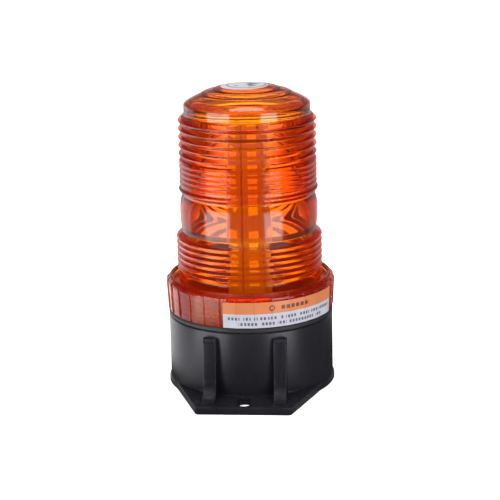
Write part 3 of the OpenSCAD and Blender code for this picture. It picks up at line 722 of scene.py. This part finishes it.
def lens_inside():
    r = LENS_R - LENS_WALL + 0.4
    dome_r, dome_z = DOME_R - LENS_WALL, DOME_C - 0.2
    side_top = dome_z + math.sqrt(dome_r ** 2 - r ** 2) - 1.2
    points = [(BORE_R, LENS_Z + 13.4), (BORE_R, LENS_Z + 13.6, 0.3), (36.7, LENS_Z + 14.2, 0.4),
              (36.7, LENS_Z + 15.2), (36.6, BAND_TOP + 0.4, 1.0), (r + 1.1, BAND_TOP + 6, 1.0),
              (r + 0.9, RING_TOP - 1, 0.4), (r, RING_TOP + 1, 0.4), (r, side_top)]
    return rounded(points, 4) + arc(0.0, dome_z, dome_r, 63, 90, 24)


def lens_profile():
    points = (dome_outside() + ring_stacks() + bead_and_barrel() + band_and_rim()
              + collar_and_bore() + lens_inside())
    kept = [points[0]]
    for r, z in points[1:]:  # drop repeated points
        if math.hypot(r - kept[-1][0], z - kept[-1][1]) > 0.012:
            kept.append((r, z))
    return kept


def lens_angles():
    """Mesh columns in radians, crowded around each grip."""
    offsets = [-5.2, -4.3, -3.4, -2.5, -1.7, -1.05, -0.92, -0.80, -0.70, -0.60, -0.30, 0.0,
               0.30, 0.60, 0.70, 0.80, 0.92, 1.05, 1.7, 2.5, 3.4, 4.3, 5.2, 6.0]
    degrees = [GRIP_START + GRIP_PITCH * k + offset for k in range(GRIPS) for offset in offsets]
    return np.radians(np.array(sorted(d % 360 for d in degrees)))


def smoothstep(t):
    t = np.clip(t, 0, 1)
    return t * t * (3 - 2 * t)


def lens_relief(angles, r, z):
    """Grips on the collar wall and the thread in the bore."""
    offset = np.zeros_like(angles)
    if r > COL_R0 - 0.35 and LENS_Z + 0.2 < z < COL_TOP - 1.2:
        half = GRIP_PITCH / 2
        aside = (np.degrees(angles) - GRIP_START + half) % GRIP_PITCH - half
        across = smoothstep((0.95 - np.abs(aside)) / 0.30)
        wall = COL_R0 + (COL_R1 - COL_R0) * (z - LENS_Z) / (COL_WALL_TOP - LENS_Z)
        top = smoothstep((COL_TOP - 1.9 - z) / 1.0)
        bottom = smoothstep((z - LENS_Z - 0.1) / 0.35)
        offset += across * top * bottom * max(0.0, wall + 0.7 - r)
    if abs(r - BORE_R) < 0.02 and LENS_Z + 0.5 < z < LENS_Z + 13.45:
        offset -= thread(angles, z, start_z=LENS_Z + 1.3, turns=3.4)
    return offset


# (height in mm, amount)
TINT = [(0, 0.30), (58, 0.30), (62, 0.60), (84, 0.60), (87, 0.0), (105, 0.0), (108, 1.0),
        (122, 1.0), (131, 0.75), (138, 0.35), (148, 0.25), (151, 0.0), (170, 0.10)]
HAZE = [(0, 0.09), (58, 0.13), (62, 0.20), (70, 0.18), (84, 0.15), (88, 0.015), (104, 0.015),
        (108, 0.11), (126, 0.10), (148, 0.05), (152, 0.015), (170, 0.03)]


def faces_inward(face):
    """True on the inside wall above the bore."""
    centre, normal = face.center, face.normal
    from_z = centre.z - min(centre.z, DOME_C * MM)
    outward = centre.x * normal.x + centre.y * normal.y + from_z * normal.z
    return outward < -1e-6 and centre.z > (LENS_Z + 14) * MM


def paint_lens(mesh):
    """Face attributes read by the lens material; the inside gets no haze."""
    def at_height(face, table):
        return float(np.interp(face.center.z / MM, *zip(*table)))

    tint = [at_height(face, TINT) for face in mesh.polygons]
    mesh.attributes.new("tint", "FLOAT", "FACE").data.foreach_set("value", tint)
    haze = [0.0 if faces_inward(face) else at_height(face, HAZE) for face in mesh.polygons]
    mesh.attributes.new("haze", "FLOAT", "FACE").data.foreach_set("value", haze)


lens = lathe("lens_moulding", lens_profile(), lens_angles(), closed=False, relief=lens_relief)
assign(lens, MATERIALS["lens_amber"])
paint_lens(lens.data)
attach(lens, "screw_lens")
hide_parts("lens")


# ---------------------------------------------------------------- housing
def housing_body():
    """Foot disc, drum, threaded neck, cup from above and cavity from below."""
    neck_top = BODY_H + NECK_H
    outside = [(CAV_R, 0.0), (DISC_R - 0.25, 0.0), (DISC_R, 0.25), (DISC_R, LIP_H, 0.5),
               (BODY_R, LIP_H + 0.9, 0.5), (BODY_R, PLATE_T - 0.3),
               (BODY_R + 0.12, PLATE_T - 0.1), (BODY_R, PLATE_T + 0.9, 0.4),
               (BODY_R, BODY_H, 1.2), (NECK_R, BODY_H)]
    rows = np.arange(LENS_Z + 1.2, LENS_Z + 10.3, THREAD_ROW)
    cup = [(NECK_R, neck_top - 0.6), (NECK_R, neck_top, 0.5), (CUP_R, neck_top, 0.5),
           (CUP_R, FLOOR_TOP, 0.6), (0.0, FLOOR_TOP)]
    cavity = [(0.0, FLOOR_BOT), (CAV_R, FLOOR_BOT, 0.8), (CAV_R, 0.0)]
    profile = rounded(outside, 6) + [(NECK_R, float(z)) for z in rows]
    profile += rounded(cup, 4) + rounded(cavity, 4)[:-1]

    def relief(angles, r, z):
        if abs(r - NECK_R) < 0.01 and LENS_Z + 1.1 < z < LENS_Z + 10.4:
            return thread(angles, z, start_z=LENS_Z + 2.55, turns=2.4)
        return np.zeros_like(angles)

    return lathe("housing", profile, full_turn(288), relief=relief)


def ear(side):
    """Flat ear with slanted sides and rounded corners; side is 1 for +Y, -1 for -Y."""
    root_y = math.sqrt(DISC_R ** 2 - EAR_ROOT_X ** 2)
    slant = math.hypot(EAR_ROOT_X - EAR_HALF, EAR_REACH - root_y)
    normal_x, normal_y = (EAR_REACH - root_y) / slant, (EAR_ROOT_X - EAR_HALF) / slant
    corner_x = EAR_HALF - (EAR_CORNER_R - normal_y * EAR_CORNER_R) / normal_x
    half = [(EAR_ROOT_X - 3.0, root_y - 3.0), (EAR_ROOT_X - 0.02, root_y)]
    half += arc(corner_x, EAR_REACH - EAR_CORNER_R, EAR_CORNER_R,
                math.degrees(math.atan2(normal_y, normal_x)), 90, 8)
    outline = [(x, y * side) for x, y in half + [(-x, y) for x, y in reversed(half)]]
    return prism("ear", outline[::side], 0.0, PLATE_T, bevel=0.35)


def rib(turn, side):
    """Upright rib with a hollow curve, from an ear up the body; side is its sign in x."""
    sweep_r, top_r = 10.4, 2.6
    foot_z = PLATE_T + 0.9
    # (distance from the Z axis, z)
    outline = [(CAV_R - 1.5, PLATE_T - 1), (EAR_REACH - 3.9, PLATE_T - 1),
               (EAR_REACH - 3.9, foot_z)]
    outline += arc(EAR_REACH - 14.8 + sweep_r, foot_z + sweep_r, sweep_r, 270, 180, 24)
    outline += arc(BODY_R - 1.8, RIB_TOP - top_r, top_r, 0, 90, 12)
    outline.append((CAV_R - 1.5, RIB_TOP))
    ob = prism("rib", outline, -RIB_W / 2, RIB_W / 2, bevel=0.45)
    shift = Matrix.Translation((side * RIB_GAP / 2 * MM, 0, 0))
    place(ob, Matrix.Rotation(math.radians(turn), 4, "Z") @ shift @ ON_SIDE)
    return ob


def ear_slot(side):
    outline = arc(0.0, side * SLOT_Y + SLOT_SHIFT, SLOT_R, 0, 180, 24)
    outline += arc(0.0, side * SLOT_Y - SLOT_SHIFT, SLOT_R, 180, 360, 24)
    return prism("slot", outline, -5, 12)


def port_cut():
    """Plug for the round port in the +X side, flared at the body's surface."""
    flare = [(PORT_R, -7), (PORT_R, -1.3, 0.5), (PORT_R + 1.2, 0.0), (PORT_R + 3.2, 2.2)]
    profile = [(0, -8), (PORT_R, -8)] + rounded(flare, 4) + [(0, 2.2)]
    ob = lathe("portcut", profile, full_turn(64), closed=False)
    shift = Matrix.Translation((BODY_R * MM, 0, PORT_Z * MM))
    place(ob, Matrix.Rotation(math.radians(PORT_TURN), 4, "Z") @ shift @ ON_SIDE)
    return ob


def build_housing():
    body = housing_body()
    posts = [polar(POST_CIRCLE_R, angle) for angle in POST_ANGLES]
    adds = [ear(side) for side in (-1, 1)]
    adds += [rib(turn, side) for turn in (0, 180) for side in (-1, 1)]
    adds += [cylinder("post", 3.4, FLOOR_TOP - 0.5, FLOOR_TOP + 4.0, sides=48, centre=post)
             for post in posts]
    boolean(body, adds, "UNION")
    cuts = [ear_slot(side) for side in (-1, 1)]
    cuts.append(port_cut())
    cuts.append(cylinder("leadhole", 4.0, FLOOR_BOT - 1, FLOOR_TOP + 1, sides=64,
                         centre=polar(LEAD_HOLE_CIRCLE_R, LEAD_HOLE_ANGLE)))
    cuts += [cylinder("pilot", 1.25, FLOOR_TOP, FLOOR_TOP + 6.0, sides=32, centre=post)
             for post in posts]
    boolean(body, cuts, "DIFFERENCE")
    smooth_by_angle(body, 28)
    body.name = "housing_moulding"
    return body


housing = build_housing()
assign(housing, MATERIALS["housing_black"])
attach(housing, "base")
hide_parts("base_housing")


# ---------------------------------------------------------------- seal ring
def build_seal():
    inner_r, outer_r = NECK_R + 2.1, BODY_R + 0.1
    top, bottom = LENS_Z - 0.02, BODY_H + 0.05
    section = [(inner_r, BODY_H), (inner_r, top), (outer_r, top, 0.7), (outer_r, bottom, 0.3),
               (NECK_R + 2.2, bottom)]
    # the first point only leads in to the section
    return lathe("seal_ring", rounded(section, 6)[1:], full_turn(288))


seal = build_seal()
assign(seal, MATERIALS["seal_black"])
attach(seal, "seal")
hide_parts("lens_gasket")

# ---------------------------------------------------------------- surroundings
# Brightness by bearing: (degrees from the camera's side, rising to its right; level).
# The full level is 5. Glossy rays see bright windows, rays through the lens a backdrop.
FULL_LEVEL = 5.0
WINDOWS = [(-180, 0.08), (-155, 0.10), (-148, 0.22), (-114, 0.22), (-106, 0.05), (-78, 0.06),
           (-72, 1.0), (-33, 1.0), (-29, 0.05), (0, 0.03), (22, 0.05), (26, 1.0), (52, 1.0),
           (57, 0.04), (112, 0.03), (122, 0.09), (150, 0.09), (180, 0.08)]
BACKDROP = [(-180, 1.0), (-172, 1.0), (-163, 0.35), (-150, 0.14), (0, 0.12), (150, 0.14),
            (163, 0.35), (172, 1.0), (180, 1.0)]
FLOOR_STRIP = [(-180, 0.35), (-158, 0.45), (-148, 0.9), (-110, 0.9), (-74, 0.75), (-60, 0.50),
               (-48, 0.30), (-40, 0.0), (130, 0.0), (150, 0.35), (180, 0.35)]
SKY_BEHIND = [(-180, 1.0), (-150, 1.0), (-128, 0.10), (0, 0.08), (128, 0.10), (150, 1.0),
              (180, 1.0)]
SKY_SIDES = [(-180, 0.0), (-112, 0.0), (-100, 1.0), (-48, 1.0), (-38, 0.0), (38, 0.0),
             (48, 1.0), (100, 1.0), (112, 0.0), (180, 0.0)]
SKY_FRONT = [(-180, 0.0), (-75, 0.0), (-60, 1.0), (-20, 1.0), (0, 0.55), (20, 1.0), (60, 1.0),
             (75, 0.0), (180, 0.0)]
# (distance from the Z axis in metres, level). The low levels near the object in FLOOR_WINDOWS and
# FLOOR_FAR are a painted shadow; FLOOR_NEAR lays a painted pool of light close around it.
FLOOR_WINDOWS = [(0.0, 0.02), (0.10, 0.05), (0.145, 0.12), (0.165, 0.42), (0.20, 0.65),
                 (0.235, 0.90), (0.26, 1.0)]
FLOOR_NEAR = [(0.0, 0.0), (0.055, 0.0), (0.085, 1.0), (0.20, 1.0), (0.24, 0.0)]
FLOOR_FAR = [(0.0, 0.05), (0.06, 0.08), (0.12, 0.45), (0.18, 1.0)]
# (z of the ray's direction, level)
SKY_LOW = [(0.0, 1.0), (0.10, 1.0), (0.17, 0.03), (1.0, 0.03)]
SKY_HIGH = [(0.0, 0.0), (0.78, 0.0), (0.84, 1.0), (0.965, 1.0), (0.98, 0.0)]
SKY_UPPER = [(0.0, 0.0), (0.66, 0.0), (0.72, 1.0), (0.92, 1.0), (0.97, 0.3)]


def bearing_and_z(graph, vector):
    """Bearing as 0..1, 0.5 toward the camera and rising to its right, and the vector's z."""
    turned = graph.node("VectorRotate", Vector=vector, Angle=-math.radians(YAW),
                        settings={"rotation_type": "Z_AXIS"}).outputs["Vector"]
    x, y, z = graph.axes(turned)
    angle = graph.math("ARCTAN2", x, graph.math("MULTIPLY", y, -1.0))
    return graph.math("ADD", graph.math("DIVIDE", angle, 2 * math.pi), 0.5), z


def around(graph, bearing, table):
    return graph.ramp(bearing, [(degrees / 360 + 0.5, level) for degrees, level in table])


def floor_material():
    m = Material("floor_pale")
    m.shade(Base_Color=m.blend(m.noise(scale=6.0, detail=5.0), (0.86, 0.86, 0.865),
                               (0.90, 0.90, 0.90)),
            Roughness=0.8, Specular_IOR_Level=0.1, Emission_Color=1, Emission_Strength=0.45)
    position = m.node("NewGeometry").outputs["Position"]
    bearing, _ = bearing_and_z(m, position)
    distance = m.node("VectorMath", position, settings={"operation": "LENGTH"}).outputs["Value"]
    # what glossy rays see, with a painted shadow and a painted pool of light near the object
    by_distance = m.ramp(distance, FLOOR_WINDOWS)
    glossy = m.product(around(m, bearing, WINDOWS), by_distance, FULL_LEVEL)
    glossy = m.math("ADD", glossy, 0.04)
    strip = around(m, bearing, FLOOR_STRIP)
    glossy = m.math("ADD", glossy, m.product(strip, m.ramp(distance, FLOOR_NEAR), 1.6))
    glossy = m.node("Emission", Strength=glossy).outputs[0]
    rays = m.node("LightPath").outputs
    surface = m.mix_shader(rays["Is Glossy Ray"], m.principled.outputs["BSDF"], glossy)
    # what rays through the lens see, darker near the object as a painted shadow
    far = m.ramp(distance, FLOOR_FAR)
    through = m.product(around(m, bearing, BACKDROP), far, FULL_LEVEL)
    through = m.node("Emission", Strength=through).outputs[0]
    surface = m.mix_shader(rays["Is Transmission Ray"], surface, through)
    m.feed(m.output, "Surface", surface)
    return m.material


def build_floor():
    """Disc of 6 m radius, just below z = 0."""
    sides, radius, z = 48, 6.0, -0.0002
    turns = [2 * math.pi * i / sides for i in range(sides)]
    bm = bmesh.new()
    bm.faces.new([bm.verts.new((radius * math.cos(a), radius * math.sin(a), z)) for a in turns])
    ob = object_from_bmesh("floor", bm)
    ob.data.materials.append(floor_material())


def softbox(name, bearing, elevation, distance, width, height, radiance,
            target=(0, 0, 0.09), in_reflections=False):
    """Area light aimed at the target; bearing in degrees from -Y toward +X."""
    turn, rise = math.radians(bearing), math.radians(elevation)
    toward = Vector((math.sin(turn) * math.cos(rise), -math.cos(turn) * math.cos(rise),
                     math.sin(rise)))
    light = bpy.data.lights.new(name, "AREA")
    light.shape = "RECTANGLE"
    light.size = width
    light.size_y = height
    light.energy = radiance * math.pi * width * height
    ob = add_object(name, light)
    ob.location = Vector(target) + toward * distance
    ob.rotation_euler = (-toward).to_track_quat("-Z", "Y").to_euler()
    ob.visible_camera = False
    ob.visible_glossy = in_reflections


def build_world():
    world = bpy.data.worlds.new("studio")
    scene.world = world
    world.use_nodes = True
    g = Graph(world.node_tree)
    output = g.node("OutputWorld")
    bearing, z = bearing_and_z(g, g.node("TexCoord").outputs["Generated"])
    windows = around(g, bearing, WINDOWS)
    low = g.ramp(z, SKY_LOW)
    behind = around(g, bearing, SKY_BEHIND)
    high = g.ramp(z, SKY_HIGH)
    sides = around(g, bearing, SKY_SIDES)
    glossy = g.math("ADD", g.product(windows, low, FULL_LEVEL), g.product(behind, 0.30))
    glossy = g.math("ADD", glossy, g.product(sides, high, 1.2))
    upper = g.ramp(z, SKY_UPPER)
    front = around(g, bearing, SKY_FRONT)
    glossy = g.math("ADD", glossy, g.product(front, upper, 0.6))
    seen_glossy = g.node("Background", Strength=glossy).outputs[0]
    through = g.product(around(g, bearing, BACKDROP), FULL_LEVEL)
    seen_through = g.node("Background", Strength=through).outputs[0]
    seen_by_camera = g.node("Background", Color=1).outputs[0]
    rays = g.node("LightPath").outputs
    surface = g.mix_shader(rays["Is Glossy Ray"], seen_through, seen_glossy)
    surface = g.mix_shader(rays["Is Camera Ray"], surface, seen_by_camera)
    g.feed(output, "Surface", surface)


build_floor()
softbox("key_left", bearing=-53 + YAW, elevation=32, distance=1.3, width=0.95, height=0.9,
        radiance=4.6)
softbox("key_right", bearing=41 + YAW, elevation=32, distance=1.3, width=0.80, height=0.9,
        radiance=4.6)
softbox("top", bearing=0, elevation=89.9, distance=1.2, width=0.9, height=1.0, radiance=5.0,
        target=(0, -0.10, 0.09))
softbox("glint", bearing=180 + YAW, elevation=76, distance=1.2, width=0.46, height=0.30,
        radiance=4.0, in_reflections=True)
build_world()


# ---------------------------------------------------------------- camera
def build_camera():
    """Looks down at a point on the Z axis, slightly rolled and shifted off it."""
    aim_z, distance = 83.6, 860.15          # mm
    shift_right, shift_up = -0.156, 10.34   # the aim point's shift in the view, mm
    yaw, pitch, roll = math.radians(YAW), math.radians(15.27), math.radians(1.21)
    right = Vector((math.cos(yaw), math.sin(yaw), 0))
    level = Vector((-math.sin(yaw), math.cos(yaw), 0))
    forward = level * math.cos(pitch) + Vector((0, 0, -math.sin(pitch)))
    up = level * math.sin(pitch) + Vector((0, 0, math.cos(pitch)))
    position = Vector((0, 0, aim_z)) - forward * distance - right * shift_right - up * shift_up
    rolled_right = right * math.cos(roll) - up * math.sin(roll)
    rolled_up = right * math.sin(roll) + up * math.cos(roll)
    data = bpy.data.cameras.new("cam")
    data.sensor_width = 36.0
    data.lens = 112.536
    data.clip_start = 0.01
    data.clip_end = 50
    camera = add_object("cam", data)
    rows = [(rolled_right[i], rolled_up[i], -forward[i], position[i] * MM) for i in range(3)]
    camera.matrix_world = Matrix(rows + [(0, 0, 0, 1)])
    scene.camera = camera


build_camera()

# ---------------------------------------------------------------- render settings
scene.view_settings.view_transform = "Standard"
scene.view_settings.look = "None"
scene.view_settings.exposure = 0.0
cycles = scene.cycles
cycles.max_bounces = 16
cycles.transmission_bounces = 16
cycles.glossy_bounces = 8
cycles.transparent_max_bounces = 24
cycles.diffuse_bounces = 4
cycles.volume_bounces = 0
cycles.caustics_refractive = True
cycles.caustics_reflective = False
cycles.blur_glossy = 0.4
cycles.sample_clamp_indirect = 6.0
cycles.use_denoising = True
